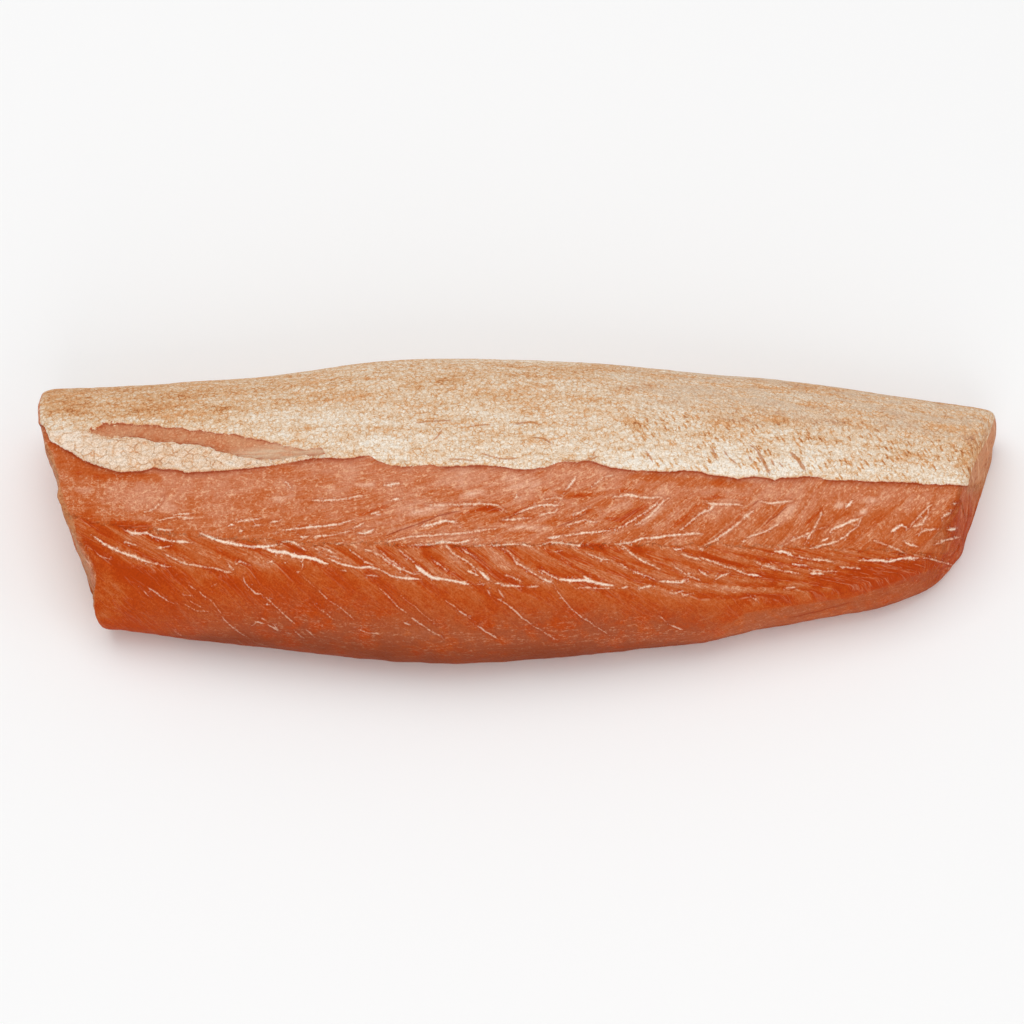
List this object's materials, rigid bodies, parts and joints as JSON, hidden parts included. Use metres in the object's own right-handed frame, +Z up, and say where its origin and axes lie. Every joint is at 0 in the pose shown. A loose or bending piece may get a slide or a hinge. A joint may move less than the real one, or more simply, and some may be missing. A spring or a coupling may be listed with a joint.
{
  "type": "cured salmon loin",
  "caption": "Dome-topped bar of cured salmon, lying flat, with a cream membrane over its back half and V-shaped muscle flakes on its cut front face.",
  "frame": {"origin": "middle of the flat underside's bounding rectangle, where the loin rests", "axes": "+X along the loin to its thin end, +Y to the back that the membrane covers, +Z up"},
  "size_m": [0.2638, 0.0876, 0.0469],
  "materials": {
    "flesh": "satin"
  },
  "bodies": {
    "root": {"salmon_loin": "flesh"}
  },
  "joints": []
}
